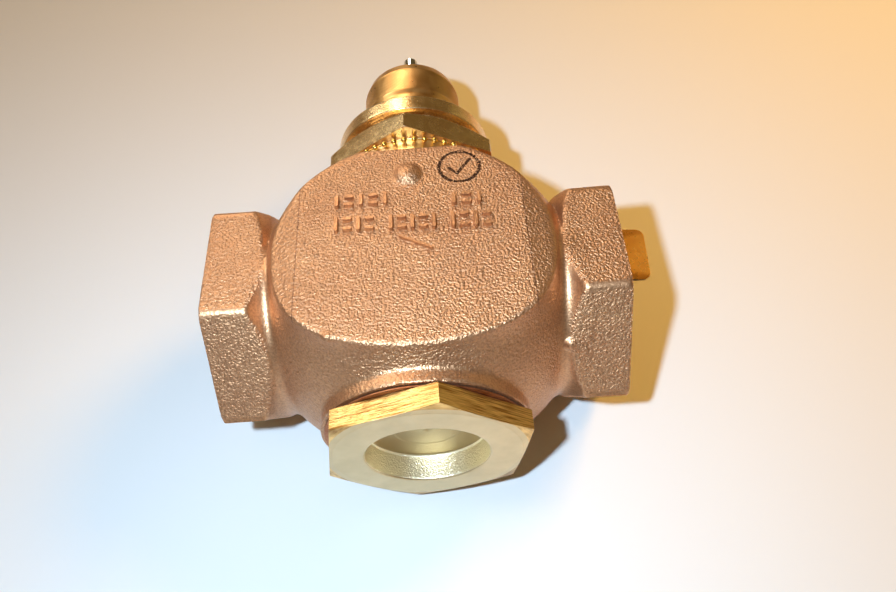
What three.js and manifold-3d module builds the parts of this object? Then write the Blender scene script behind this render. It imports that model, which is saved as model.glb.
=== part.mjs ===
// Two-port threaded globe valve for heating water, lying on its back.
// Millimetres, +Z up. The pipe runs along X, the stem along Y, and the origin
// is the centre of the flat back pad that the valve lies on.

import * as THREE from 'three';
import { mergeVertices } from 'three/addons/utils/BufferGeometryUtils.js';
import Module from 'manifold-3d';

const wasm = await Module();
wasm.setup();

// ---------------------------------------------------------------- driving dimensions

const FIT_GAP = 0.3;            // clearance between neighbouring pieces
const AXIS_HEIGHT = 32;         // pipe and stem axes above the back pad

// Casting
const BODY_HALF_X = 45.3;       // egg-shaped body: half sizes about the crossing of the axes
const BODY_HALF_Z = 46;
const BODY_DOWN_Y = 42;         // towards the bottom plug
const BODY_UP_Y = 45.5;         // towards the bonnet
const TOP_FACE_Y = 30;          // faced top that the bonnet screws into
const PAD_HALF_X = 35.3;        // flat front and back pads
const PAD_DOWN_Y = 30.8;
const PAD_UP_Y = 31;
const PAD_POWER = 2.6;          // how square its lower half is, 2 is an ellipse
const PAD_FLAT_HALF_X = 28.5;   // beyond this the pad leans back
const PAD_LEAN = THREE.MathUtils.degToRad(14);
const KNOB_RADIUS = 2.9;        // small cast knob on the front pad
const KNOB_HEIGHT = 1.8;
const KNOB_X = -0.5;
const KNOB_Y = 20.3;
const WALL = 6;
const BOSS_RADIUS = 26.5;       // bottom boss
const BOSS_FACE_Y = -38;

// Threaded ends
const END_FACE_X = 52.5;        // half the face-to-face length of 105
const END_HEX_FLATS = 55;
const END_HEX_INNER_X = 39.6;   // inner end of the hexagon at its corners
const END_CONE_RUN = 1.4;       // turned cone behind the hexagon, corner to mid-flat
const NECK_RADIUS = 25.5;
const NECK_END_X = 36.8;
const SOCKET_RADIUS = 20.4;     // mean radius of the 1 1/4 in pipe thread
const SOCKET_DEPTH = 19;
const PASSAGE_RADIUS = 16.5;

// Seat web inside the casting
const WEB_HALF = 2.5;
const SEAT_HOLE_RADIUS = 16.3;
const CHAMBER_TOP_Y = 23.5;
const CHAMBER_BOTTOM_Y = -30;
const TOP_HOLE_RADIUS = 20;
const BOTTOM_HOLE_RADIUS = 19.5;

// Bonnet
const STEM_RADIUS = 2.4;
const BONNET_COLLAR_RADIUS = 22.7;
const BONNET_GASKET = 1.2;
const BONNET_HEX_FLATS = 48.2;
const BONNET_HEX_Y = 43.15;
const BONNET_HEX_CORNER_Y = 47.2;
const BONNET_WAIST_Y = 53;
const BONNET_WAIST_RADIUS = 21.3;
const BONNET_HEX_TURN = THREE.MathUtils.degToRad(-2.6);
const FLANGE_RADIUS = 23.9;
const FLANGE_Y = 55.2;
const FLANGE_END_Y = 60;
const SPIGOT_RADIUS = 13.2;
const SPIGOT_END_Y = 79;
const BONNET_BOTTOM_Y = 21;
const PLUG_BORE_RADIUS = 16.9;  // room for the valve disc when it is up
const PLUG_BORE_END_Y = 34.5;
const PACKING_RADIUS = 6.6;
const PACKING_FLOOR_Y = 50;
const BUSH_RADIUS = 5.3;
const BUSH_FLOOR_Y = 36.5;

// Packing cap
const CAP_RADIUS = 15.7;
const CAP_SKIRT_RADIUS = 15;
const CAP_START_Y = 62.5;
const CAP_KNURL_Y = 73.4;
const CAP_END_Y = 85.9;
const CAP_ROUNDING = 2.4;
const CAP_BOSS_Y = 76.2;

// Bottom plug
const PLUG_HEX_FLATS = 48.4;
const PLUG_FACE_Y = -44.2;
const PLUG_HEX_INNER_Y = -39.1;
const PLUG_END_Y = -27.5;
const PLUG_RECESS_RADIUS = 15.6;
const PLUG_RECESS_DEPTH = 6.8;
const PLUG_HEX_TURN = THREE.MathUtils.degToRad(9.1);

// Stem, valve disc and travel (modelled fully open, stem drawn out)
const STEM_TRAVEL = 12.7;
const STEM_TIP_Y = 105;
const SEAT_LIP_Y = 6.2;
const DISC_FACE_Y = SEAT_LIP_Y + FIT_GAP + STEM_TRAVEL;
const SEAT_BORE_RADIUS = 12.8;
const DISC_THICKNESS = 3.5;
const HOLDER_RADIUS = 16;

// Identification tag on its bead chain
const CHAIN_RADIUS = 0.85;
const CHAIN_LOOP_RADIUS = BONNET_COLLAR_RADIUS + CHAIN_RADIUS + 0.15;
const CHAIN_Y = BONNET_HEX_Y - CHAIN_RADIUS - 0.5;
const TAG_LENGTH = 47;
const TAG_WIDTH = 21;
const TAG_THICKNESS = 0.6;
const TAG_CORNER = 2.8;
const TAG_HOLE_RADIUS = 2.4;
const TAG_HOLE_INSET = 4;
const TAG_LEFT_X = 29;          // left edge, which rests on the chain
const TAG_LEFT_Y = 38.7;
const TAG_LEFT_LIFT = 2 * CHAIN_RADIUS + FIT_GAP;
const TAG_YAW = THREE.MathUtils.degToRad(-3);

// ---------------------------------------------------------------- materials

const metal = (color, roughness, metalness = 1) =>
  new THREE.MeshStandardMaterial({ color, roughness, metalness });

const castBronze = () => metal(0xb98a6c, 0.55);
const brass = () => metal(0xc9a552, 0.28);
const paleBrass = () => metal(0xc8b98a, 0.35);
const stainless = () => metal(0xb9bcc0, 0.25);
const copper = () => metal(0xb96a45, 0.4);
const blackRubber = () => metal(0x1c1c1d, 0.75, 0);
const whitePolymer = () => metal(0xe6e3da, 0.5, 0);

// ---------------------------------------------------------------- solid helpers

// A closed three.js geometry as a solid that can be joined and cut.
function solid(geometry) {
  const bare = geometry.clone();
  bare.deleteAttribute('normal');
  bare.deleteAttribute('uv');
  const merged = mergeVertices(bare, 1e-3);
  const index = merged.index.array;
  const kept = [];
  for (let i = 0; i < index.length; i += 3) {
    const [a, b, c] = [index[i], index[i + 1], index[i + 2]];
    if (a !== b && b !== c && c !== a) {
      kept.push(a, b, c);
    }
  }
  return new wasm.Manifold(new wasm.Mesh({
    numProp: 3,
    vertProperties: new Float32Array(merged.attributes.position.array),
    triVerts: new Uint32Array(kept),
  }));
}

function geometryOf(manifold) {
  const mesh = manifold.getMesh();
  const geometry = new THREE.BufferGeometry();
  geometry.setAttribute('position', new THREE.BufferAttribute(mesh.vertProperties, 3));
  geometry.setIndex(new THREE.BufferAttribute(mesh.triVerts, 1));
  return geometry;
}

// A body turned about the stem axis from a closed or axis-to-axis profile of [radius, y].
function turned(profile, sides = 32) {
  const points = profile.map(([radius, y]) => new THREE.Vector2(radius, y));
  const onAxis = profile[0][0] === 0 && profile.at(-1)[0] === 0;
  if (!onAxis) {
    points.push(points[0].clone());
  }
  return solid(new THREE.LatheGeometry(points, sides));
}

function ring(inner, outer, y0, y1, sides = 32) {
  return turned([[inner, y0], [outer, y0], [outer, y1], [inner, y1]], sides);
}

function rod(radius, y0, y1, sides = 32) {
  return turned([[0, y0], [radius, y0], [radius, y1], [0, y1]], sides);
}

// A hexagonal bar along the stem axis; turn 0 puts a corner at +Z.
function hexagon(flats, y0, y1, turn = 0) {
  const corner = flats / Math.sqrt(3);
  const bar = new THREE.CylinderGeometry(corner, corner, y1 - y0, 6, 1, false, turn);
  bar.translate(0, (y0 + y1) / 2, 0);
  return solid(bar);
}

// Turns a solid made along the stem axis to lie along the pipe, its +Y end at side 1 or -1.
function alongPipe(manifold, side) {
  return manifold.rotate([0, 0, -90 * side]);
}

function block(x0, x1, y0, y1, z0, z1) {
  const box = new THREE.BoxGeometry(x1 - x0, y1 - y0, z1 - z0);
  box.translate((x0 + x1) / 2, (y0 + y1) / 2, (z0 + z1) / 2);
  return solid(box);
}

// An outline in the XY plane, given a depth from z0 to z1.
function slab(points, z0, z1) {
  const outline = new THREE.Shape(points.map(([x, y]) => new THREE.Vector2(x, y)));
  const plate = new THREE.ExtrudeGeometry(outline, { depth: z1 - z0, bevelEnabled: false });
  plate.translate(0, 0, z0);
  return solid(plate);
}

function ellipseArc(halfX, halfY, fromDegrees, toDegrees, steps) {
  return Array.from({ length: steps + 1 }, (_, i) => {
    const angle = THREE.MathUtils.degToRad(fromDegrees + (toDegrees - fromDegrees) * i / steps);
    return [halfX * Math.cos(angle), halfY * Math.sin(angle)];
  });
}

// ---------------------------------------------------------------- casting

// The egg-shaped body, turned about the stem axis, then stretched front to back.
function egg(halfX, downY, upY, halfZ, sides, steps) {
  const lower = ellipseArc(halfX, downY, -90, 0, steps);
  const upper = ellipseArc(halfX, upY, 0, 90, steps);
  lower[0][0] = 0;
  upper.at(-1)[0] = 0;
  return turned([...lower, ...upper.slice(1)], sides).scale([1, 1, halfZ / halfX]);
}

// The space between the two pads: flat in the middle, leaning back at both sides.
function padEnvelope() {
  const reach = 60;
  const lean = AXIS_HEIGHT - (reach - PAD_FLAT_HALF_X) * Math.tan(PAD_LEAN);
  const outline = [
    [-reach, -lean], [-PAD_FLAT_HALF_X, -AXIS_HEIGHT], [PAD_FLAT_HALF_X, -AXIS_HEIGHT], [reach, -lean],
    [reach, lean], [PAD_FLAT_HALF_X, AXIS_HEIGHT], [-PAD_FLAT_HALF_X, AXIS_HEIGHT], [-reach, lean],
  ];
  return slab(outline, -TOP_FACE_Y, reach).rotate([90, 0, 0]);
}

function padOutline() {
  const steps = 36;
  return Array.from({ length: steps }, (_, i) => {
    const angle = 2 * Math.PI * i / steps;
    const [c, s] = [Math.cos(angle), Math.sin(angle)];
    const [halfY, power] = s < 0 ? [PAD_DOWN_Y, PAD_POWER] : [PAD_UP_Y, 2];
    const squash = (value) => Math.sign(value) * Math.abs(value) ** (2 / power);
    return [PAD_HALF_X * squash(c), halfY * squash(s)];
  });
}

// The small round knob that stands on the front pad.
function padKnob() {
  const dome = ellipseArc(KNOB_RADIUS, KNOB_HEIGHT, 0, 90, 4);
  dome.at(-1)[0] = 0;
  return turned([[0, -1], [KNOB_RADIUS, -1], ...dome], 16)
    .rotate([90, 0, 0])
    .translate([KNOB_X, KNOB_Y, AXIS_HEIGHT]);
}

// One threaded end: neck, turned cone and hexagon, at side 1 or -1.
function pipeEnd(side) {
  const corner = END_HEX_FLATS / Math.sqrt(3);
  const flat = END_HEX_FLATS / 2;
  const chamfer = 0.9;
  const turnedEnd = turned([
    [0, 20], [NECK_RADIUS, 20], [NECK_RADIUS, NECK_END_X],
    [flat, END_HEX_INNER_X - END_CONE_RUN], [corner + 0.1, END_HEX_INNER_X],
    [corner + 0.1, END_FACE_X - chamfer], [corner - chamfer, END_FACE_X], [0, END_FACE_X],
  ], 36);
  const bar = hexagon(END_HEX_FLATS, 19, END_FACE_X + 1, Math.PI / 6);
  return alongPipe(turnedEnd.intersect(bar), side);
}

function socket(side) {
  const threadEnd = END_FACE_X - SOCKET_DEPTH;
  const bore = turned([
    [0, 22], [PASSAGE_RADIUS, 22], [PASSAGE_RADIUS, threadEnd - 2], [SOCKET_RADIUS, threadEnd],
    [SOCKET_RADIUS, END_FACE_X - 1.2], [SOCKET_RADIUS + 1.6, END_FACE_X + 0.4], [0, END_FACE_X + 0.4],
  ], 32);
  return alongPipe(bore, side);
}

// The web that carries the seat, stepping from above the left port to below the right one.
function seatWeb() {
  const knee = SEAT_HOLE_RADIUS + 3.2;      // where the flat part starts to slope
  const foot = PASSAGE_RADIUS + 1.2;        // how far off the pipe axis the slopes end
  const end = END_FACE_X - SOCKET_DEPTH + 0.5;
  const thick = 4.5;
  const web = slab([
    [-end, foot], [-end + 1, foot], [-knee - 4, -WEB_HALF], [knee, -WEB_HALF],
    [knee + 9.5, -foot - thick], [end, -foot - thick],
    [end, -foot], [end - 1, -foot], [knee + 4, WEB_HALF], [-knee, WEB_HALF],
    [-knee - 9.5, foot + thick], [-end, foot + thick],
  ], -(AXIS_HEIGHT - 2), AXIS_HEIGHT - 2);
  const inset = 2.5;
  const inside = egg(BODY_HALF_X - inset, BODY_DOWN_Y - inset, BODY_UP_Y - inset, BODY_HALF_Z - inset, 32, 6);
  return web.intersect(inside);
}

function castingBody() {
  const envelope = padEnvelope();
  const pad = slab(padOutline(), -AXIS_HEIGHT, AXIS_HEIGHT).intersect(envelope);
  const round = egg(BODY_HALF_X, BODY_DOWN_Y, BODY_UP_Y, BODY_HALF_Z, 48, 8).intersect(envelope);
  const boss = rod(BOSS_RADIUS, BOSS_FACE_Y, -20, 40);
  const outside = round
    .subtract(block(-60, 60, -60, BOSS_FACE_Y, -60, 60))
    .add(pad)
    .add(boss)
    .add(padKnob())
    .add(pipeEnd(1))
    .add(pipeEnd(-1));

  const chamber = egg(BODY_HALF_X - WALL, BODY_DOWN_Y - WALL, BODY_UP_Y - WALL, BODY_HALF_Z - WALL, 28, 5)
    .intersect(block(-60, 60, CHAMBER_BOTTOM_Y, CHAMBER_TOP_Y, -(AXIS_HEIGHT - WALL), AXIS_HEIGHT - WALL));
  const topHole = rod(TOP_HOLE_RADIUS, 10, TOP_FACE_Y + 1, 40);
  const bottomHole = rod(BOTTOM_HOLE_RADIUS, BOSS_FACE_Y - 1, -20, 40);
  return outside
    .subtract(chamber)
    .subtract(socket(1))
    .subtract(socket(-1))
    .subtract(topHole)
    .subtract(bottomHole)
    .add(seatWeb())
    .subtract(rod(SEAT_HOLE_RADIUS, -10, 10, 36))
    .subtract(topHole);
}

function seatRing() {
  const flange = SEAT_HOLE_RADIUS + 1.9;
  const body = SEAT_HOLE_RADIUS - FIT_GAP;
  const shoulder = WEB_HALF + FIT_GAP;
  return turned([
    [SEAT_BORE_RADIUS, -WEB_HALF - 1], [body, -WEB_HALF - 1], [body, shoulder],
    [flange, shoulder], [flange, shoulder + 2.2], [SEAT_BORE_RADIUS + 2.2, shoulder + 2.2],
    [SEAT_BORE_RADIUS + 1.5, SEAT_LIP_Y], [SEAT_BORE_RADIUS + 0.8, SEAT_LIP_Y],
    [SEAT_BORE_RADIUS, SEAT_LIP_Y - 0.8],
  ], 36);
}

// ---------------------------------------------------------------- bottom plug

function bottomPlug() {
  const corner = PLUG_HEX_FLATS / Math.sqrt(3);
  const shank = BOTTOM_HOLE_RADIUS - FIT_GAP;
  const facing = 0.7;
  const outline = turned([
    [0, PLUG_FACE_Y], [corner - 2.6, PLUG_FACE_Y], [corner + 0.1, PLUG_FACE_Y + 1.4],
    [corner + 0.1, PLUG_HEX_INNER_Y], [shank, PLUG_HEX_INNER_Y], [shank, PLUG_END_Y - 1],
    [shank - 1, PLUG_END_Y], [0, PLUG_END_Y],
  ], 48);
  const bar = hexagon(PLUG_HEX_FLATS, PLUG_FACE_Y - 1, PLUG_END_Y + 1, PLUG_HEX_TURN);
  const floorY = PLUG_FACE_Y + PLUG_RECESS_DEPTH;
  const recess = turned([
    [0, PLUG_FACE_Y - 1], [PLUG_RECESS_RADIUS + facing, PLUG_FACE_Y - 1],
    [PLUG_RECESS_RADIUS + facing, PLUG_FACE_Y], [PLUG_RECESS_RADIUS, PLUG_FACE_Y + facing],
    [PLUG_RECESS_RADIUS, floorY - 1], [PLUG_RECESS_RADIUS - 1, floorY], [0, floorY],
  ], 40);
  return outline.intersect(bar).subtract(recess);
}

function bottomPlugGasket() {
  const inner = BOTTOM_HOLE_RADIUS + 0.4;
  return ring(inner, BOSS_RADIUS - 0.4, PLUG_HEX_INNER_Y + FIT_GAP, BOSS_FACE_Y - FIT_GAP, 40);
}

// ---------------------------------------------------------------- bonnet and packing

function bonnet() {
  const corner = BONNET_HEX_FLATS / Math.sqrt(3);
  const thread = TOP_HOLE_RADIUS - FIT_GAP;
  const shoulder = TOP_FACE_Y + BONNET_GASKET + 2 * FIT_GAP;
  const edge = 0.5;
  const hexTop = turned([
    [0, BONNET_HEX_Y], [corner + 0.1, BONNET_HEX_Y], [corner + 0.1, BONNET_HEX_CORNER_Y],
    [BONNET_WAIST_RADIUS, BONNET_WAIST_Y], [0, BONNET_WAIST_Y],
  ], 48).intersect(hexagon(BONNET_HEX_FLATS, BONNET_HEX_Y - 1, BONNET_WAIST_Y + 1, BONNET_HEX_TURN));
  const outside = turned([
    [0, BONNET_BOTTOM_Y], [thread, BONNET_BOTTOM_Y], [thread, shoulder],
    [BONNET_COLLAR_RADIUS, shoulder], [BONNET_COLLAR_RADIUS, BONNET_HEX_Y + 1],
    [BONNET_WAIST_RADIUS - 0.2, BONNET_HEX_Y + 2], [BONNET_WAIST_RADIUS - 0.2, FLANGE_Y],
    [FLANGE_RADIUS - edge, FLANGE_Y], [FLANGE_RADIUS, FLANGE_Y + edge],
    [FLANGE_RADIUS, FLANGE_END_Y - edge], [FLANGE_RADIUS - edge, FLANGE_END_Y],
    [SPIGOT_RADIUS, FLANGE_END_Y], [SPIGOT_RADIUS, SPIGOT_END_Y], [0, SPIGOT_END_Y],
  ], 48);
  const bore = turned([
    [0, BONNET_BOTTOM_Y - 1], [PLUG_BORE_RADIUS, BONNET_BOTTOM_Y - 1],
    [PLUG_BORE_RADIUS, PLUG_BORE_END_Y], [STEM_RADIUS + 0.9, PLUG_BORE_END_Y],
    [STEM_RADIUS + 0.9, BUSH_FLOOR_Y], [BUSH_RADIUS, BUSH_FLOOR_Y], [BUSH_RADIUS, PACKING_FLOOR_Y],
    [PACKING_RADIUS, PACKING_FLOOR_Y], [PACKING_RADIUS, SPIGOT_END_Y + 1], [0, SPIGOT_END_Y + 1],
  ], 32);
  return outside.add(hexTop).subtract(bore);
}

function bonnetGasket() {
  const start = TOP_FACE_Y + FIT_GAP;
  return ring(TOP_HOLE_RADIUS + 0.2, BONNET_COLLAR_RADIUS - 0.1, start, start + BONNET_GASKET, 40);
}

function packingCap() {
  const hole = STEM_RADIUS + 0.5;
  const thread = SPIGOT_RADIUS + FIT_GAP;
  const roof = SPIGOT_END_Y + FIT_GAP;
  const rounding = ellipseArc(CAP_ROUNDING, CAP_ROUNDING, 0, 90, 4)
    .map(([r, y]) => [CAP_RADIUS - CAP_ROUNDING + r, CAP_END_Y - CAP_ROUNDING + y]);
  return turned([
    [thread, CAP_START_Y], [CAP_SKIRT_RADIUS, CAP_START_Y], [CAP_SKIRT_RADIUS, CAP_KNURL_Y - 1.6],
    [CAP_RADIUS, CAP_KNURL_Y], ...rounding, [hole, CAP_END_Y], [hole, CAP_BOSS_Y],
    [PACKING_RADIUS - FIT_GAP, CAP_BOSS_Y], [PACKING_RADIUS - FIT_GAP, roof], [thread, roof],
  ], 40);
}

// The packing stack, bottom to top, each piece resting on the one before it.
const PACKING_BORE = STEM_RADIUS + FIT_GAP;
const PACKING_OUTER = PACKING_RADIUS - FIT_GAP;
const PACKING_SIDES = 20;
const SPRING_LENGTH = 8;
const SPRING_RADIUS = 4.6;
const SPRING_WIRE = 0.6;
const WASHER_THICKNESS = 1.2;
const VEE_DEPTH = 1.2;          // how deep a vee ring's groove is
const VEE_THICKNESS = 1.6;

function packingWasher(y) {
  return ring(PACKING_BORE, PACKING_OUTER, y, y + WASHER_THICKNESS, PACKING_SIDES);
}

class Coil extends THREE.Curve {
  getPoint(t) {
    const angle = 2 * Math.PI * 4.5 * t;
    const rise = SPRING_LENGTH - 2 * SPRING_WIRE;
    return new THREE.Vector3(SPRING_RADIUS * Math.cos(angle), rise * t, SPRING_RADIUS * Math.sin(angle));
  }
}

function packingSpring(y) {
  const wire = new THREE.Shape(ellipseArc(SPRING_WIRE, SPRING_WIRE, 0, 288, 4)
    .map(([a, b]) => new THREE.Vector2(a, b)));
  const coil = new THREE.ExtrudeGeometry(wire, { steps: 45, bevelEnabled: false, extrudePath: new Coil() });
  coil.translate(0, y + SPRING_WIRE, 0);
  return solid(coil);
}

// A chevron ring: pointed on top, grooved underneath.
function veeRing(y) {
  const middle = (PACKING_BORE + PACKING_OUTER) / 2;
  return turned([
    [PACKING_BORE, y], [middle, y + VEE_DEPTH], [PACKING_OUTER, y],
    [PACKING_OUTER, y + VEE_THICKNESS], [middle, y + VEE_THICKNESS + VEE_DEPTH],
    [PACKING_BORE, y + VEE_THICKNESS],
  ], PACKING_SIDES);
}

function lowerAdapter(y, height) {
  const middle = (PACKING_BORE + PACKING_OUTER) / 2;
  return turned([
    [PACKING_BORE, y], [PACKING_OUTER, y], [PACKING_OUTER, y + height],
    [middle, y + height + VEE_DEPTH], [PACKING_BORE, y + height],
  ], PACKING_SIDES);
}

function upperAdapter(y, height) {
  const middle = (PACKING_BORE + PACKING_OUTER) / 2;
  return turned([
    [PACKING_BORE, y], [middle, y + VEE_DEPTH], [PACKING_OUTER, y],
    [PACKING_OUTER, y + height], [PACKING_BORE, y + height],
  ], PACKING_SIDES);
}

// ---------------------------------------------------------------- stem and valve disc

const HOLDER_Y = DISC_FACE_Y + DISC_THICKNESS + FIT_GAP;
const HOLDER_PLATE = 4;
const HUB_RADIUS = 4.8;
const HUB_END_Y = HOLDER_Y + HOLDER_PLATE + 4.6;
const PIN_RADIUS = 0.7;
const PIN_Y = HUB_END_Y - 2.2;
const PIN_HALF_LENGTH = HUB_RADIUS;
const STEM_HOLE = STEM_RADIUS + FIT_GAP;
const THROTTLE_LENGTH = 12.6;
const THROTTLE_TOP_RADIUS = SEAT_BORE_RADIUS - 0.5;
const THROTTLE_TIP_RADIUS = 6.4;
const NUT_FLATS = 8;
const NUT_THICKNESS = 3.2;
const THROTTLE_END_Y = DISC_FACE_Y - FIT_GAP - THROTTLE_LENGTH;
const NUT_Y = THROTTLE_END_Y - FIT_GAP - NUT_THICKNESS;

function crossHole(radius) {
  return rod(radius, -20, 20, 12).rotate([0, 0, 90]).translate([0, PIN_Y, 0]);
}

function stem() {
  const tip = 0.7;
  return turned([
    [0, NUT_Y - 1.2], [STEM_RADIUS - 0.4, NUT_Y - 1.2], [STEM_RADIUS, NUT_Y - 0.8],
    [STEM_RADIUS, STEM_TIP_Y - tip], [STEM_RADIUS - tip, STEM_TIP_Y], [0, STEM_TIP_Y],
  ], 24).subtract(crossHole(PIN_RADIUS + FIT_GAP));
}

function discHolder() {
  const rim = HOLDER_RADIUS - 1.2;
  const top = HOLDER_Y + HOLDER_PLATE;
  return turned([
    [STEM_HOLE, HOLDER_Y], [rim - 0.3, HOLDER_Y], [rim - 0.3, HOLDER_Y - 1.6], [HOLDER_RADIUS, HOLDER_Y - 1.6],
    [HOLDER_RADIUS, top - 1.4], [HOLDER_RADIUS - 1.4, top], [HUB_RADIUS, top],
    [HUB_RADIUS, HUB_END_Y], [STEM_HOLE, HUB_END_Y],
  ], 36).subtract(crossHole(PIN_RADIUS + FIT_GAP));
}

function stemPin() {
  return rod(PIN_RADIUS, -PIN_HALF_LENGTH, PIN_HALF_LENGTH, 10).rotate([0, 0, 90]).translate([0, PIN_Y, 0]);
}

function seatDisc() {
  return ring(STEM_HOLE, HOLDER_RADIUS - 1.8, DISC_FACE_Y, DISC_FACE_Y + DISC_THICKNESS, 36);
}

// The contoured plug that meters the flow as it leaves the seat.
function throttlePlug() {
  const steps = 5;
  const flank = Array.from({ length: steps + 1 }, (_, i) => {
    const t = i / steps;
    const bulge = (THROTTLE_TOP_RADIUS - THROTTLE_TIP_RADIUS) * Math.sqrt(t);
    return [THROTTLE_TIP_RADIUS + bulge, THROTTLE_END_Y + (THROTTLE_LENGTH - 1) * t];
  });
  const top = DISC_FACE_Y - FIT_GAP;
  return turned([[STEM_HOLE, THROTTLE_END_Y], ...flank, [THROTTLE_TOP_RADIUS, top], [STEM_HOLE, top]], 32);
}

function throttleNut() {
  return hexagon(NUT_FLATS, NUT_Y, NUT_Y + NUT_THICKNESS).subtract(rod(STEM_HOLE, NUT_Y - 1, THROTTLE_END_Y, 16));
}

// ---------------------------------------------------------------- tag and chain

// Heights here are above the surface that the valve lies on.
const TAG_PITCH = Math.asin(TAG_LEFT_LIFT / TAG_LENGTH);

function tagPlate() {
  const plate = new THREE.Shape();
  const half = TAG_WIDTH / 2;
  const c = TAG_CORNER;
  plate.moveTo(c, -half);
  plate.lineTo(TAG_LENGTH - c, -half);
  plate.absarc(TAG_LENGTH - c, -half + c, c, -Math.PI / 2, 0);
  plate.lineTo(TAG_LENGTH, half - c);
  plate.absarc(TAG_LENGTH - c, half - c, c, 0, Math.PI / 2);
  plate.lineTo(c, half);
  plate.absarc(c, half - c, c, Math.PI / 2, Math.PI);
  plate.lineTo(0, -half + c);
  plate.absarc(c, -half + c, c, Math.PI, 1.5 * Math.PI);
  const hole = new THREE.Path();
  hole.absarc(TAG_HOLE_INSET, 0, TAG_HOLE_RADIUS, 0, 2 * Math.PI);
  plate.holes.push(hole);
  return new THREE.ExtrudeGeometry(plate, { depth: TAG_THICKNESS, bevelEnabled: false, curveSegments: 6 });
}

function atTag(along, up) {
  const reach = along * Math.cos(TAG_PITCH) + up * Math.sin(TAG_PITCH);
  const height = TAG_LEFT_LIFT - along * Math.sin(TAG_PITCH) + up * Math.cos(TAG_PITCH);
  return new THREE.Vector3(
    TAG_LEFT_X + reach * Math.cos(TAG_YAW), TAG_LEFT_Y + reach * Math.sin(TAG_YAW), height,
  );
}

const loopPoint = (degrees) => {
  const angle = THREE.MathUtils.degToRad(degrees);
  return new THREE.Vector3(
    CHAIN_LOOP_RADIUS * Math.cos(angle), CHAIN_Y, AXIS_HEIGHT + CHAIN_LOOP_RADIUS * Math.sin(angle),
  );
};

// The chain hugs the collar over its top, and both runs come together in the tag's hole.
function chainRoute() {
  const hug = [];
  for (let degrees = 262; degrees >= 8; degrees -= 12.7) {
    hug.push(loopPoint(degrees));
  }
  const hole = atTag(TAG_HOLE_INSET, 0);
  const under = CHAIN_RADIUS + 0.1;
  return new THREE.CatmullRomCurve3([
    new THREE.Vector3(17.6, 41.2, 3.5),
    new THREE.Vector3(10.5, CHAIN_Y, 7.2),
    ...hug,
    new THREE.Vector3(25.4, 42, 26),
    new THREE.Vector3(29.4, 41, 15),
    new THREE.Vector3(hole.x + 0.1, hole.y + 0.2, 7),
    new THREE.Vector3(hole.x + 0.1, hole.y, hole.z),
    new THREE.Vector3(hole.x - 1.2, hole.y, under),
    new THREE.Vector3(hole.x - 4.4, hole.y + 0.3, under),
    new THREE.Vector3(25.6, 40.2, 1.9),
  ], false, 'centripetal');
}

function chainTube() {
  const section = new THREE.Shape(ellipseArc(CHAIN_RADIUS, CHAIN_RADIUS, 0, 300, 5)
    .map(([a, b]) => new THREE.Vector2(a, b)));
  const options = { steps: 70, bevelEnabled: false, extrudePath: chainRoute() };
  return solid(new THREE.ExtrudeGeometry(section, options));
}

// The barrel that joins the two ends of the chain, between them.
function chainClasp() {
  const route = chainRoute();
  const [start, end] = [route.getPoint(0), route.getPoint(1)];
  const length = start.distanceTo(end) - 2 * FIT_GAP;
  const barrel = new THREE.CylinderGeometry(1.5, 1.5, length, 16);
  const turn = new THREE.Quaternion().setFromUnitVectors(
    new THREE.Vector3(0, 1, 0), end.clone().sub(start).normalize(),
  );
  barrel.applyQuaternion(turn);
  const middle = start.clone().lerp(end, 0.5);
  barrel.translate(middle.x, middle.y, middle.z);
  return solid(barrel);
}

// ---------------------------------------------------------------- assembly

const valve = new THREE.Group();
const onAxes = new THREE.Group();       // everything measured from the crossing of the axes
onAxes.position.set(0, 0, AXIS_HEIGHT);
valve.add(onAxes);

function place(parent, name, geometry, material) {
  const mesh = new THREE.Mesh(geometry, material);
  mesh.name = name;
  parent.add(mesh);
  return mesh;
}

const fit = (name, manifold, material) => place(onAxes, name, geometryOf(manifold), material);

fit('body_casting', castingBody(), castBronze());
fit('seat_ring', seatRing(), stainless());
fit('bottom_plug', bottomPlug(), paleBrass());
fit('bottom_plug_gasket', bottomPlugGasket(), copper());
fit('bonnet', bonnet(), brass());
fit('bonnet_gasket', bonnetGasket(), copper());
fit('packing_cap', packingCap(), brass());
fit('stem_guide_bush', ring(PACKING_BORE, BUSH_RADIUS - FIT_GAP, BUSH_FLOOR_Y + FIT_GAP, 49.7, 24), copper());

const stack = { y: PACKING_FLOOR_Y + FIT_GAP };
function stackUp(name, height, make, material) {
  fit(name, make(stack.y), material);
  stack.y += height + FIT_GAP;
}

stackUp('packing_base_washer', WASHER_THICKNESS, packingWasher, stainless());
stackUp('packing_spring', SPRING_LENGTH, packingSpring, stainless());
stackUp('spring_follower', WASHER_THICKNESS, packingWasher, stainless());
stackUp('packing_lower_adapter', 1.8, (y) => lowerAdapter(y, 1.8), brass());
for (const number of [1, 2, 3]) {
  stackUp(`packing_vee_ring_${number}`, VEE_THICKNESS, veeRing, blackRubber());
}
stackUp('packing_upper_adapter', 3, (y) => upperAdapter(y, 3), whitePolymer());
stackUp('stem_wiper', 1.8, (y) => ring(PACKING_BORE, PACKING_OUTER, y, y + 1.8, PACKING_SIDES), blackRubber());

fit('stem', stem(), stainless());
fit('disc_holder', discHolder(), brass());
fit('holder_pin', stemPin(), stainless());
fit('seat_disc', seatDisc(), blackRubber());
fit('throttle_plug', throttlePlug(), brass());
fit('throttle_nut', throttleNut(), stainless());

place(valve, 'bead_chain', geometryOf(chainTube()), brass());
place(valve, 'chain_clasp', geometryOf(chainClasp()), brass());
const tag = place(valve, 'identification_tag', tagPlate(), brass());
tag.position.copy(atTag(0, 0));
tag.rotation.set(0, TAG_PITCH, TAG_YAW, 'ZYX');

export default valve;
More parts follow.
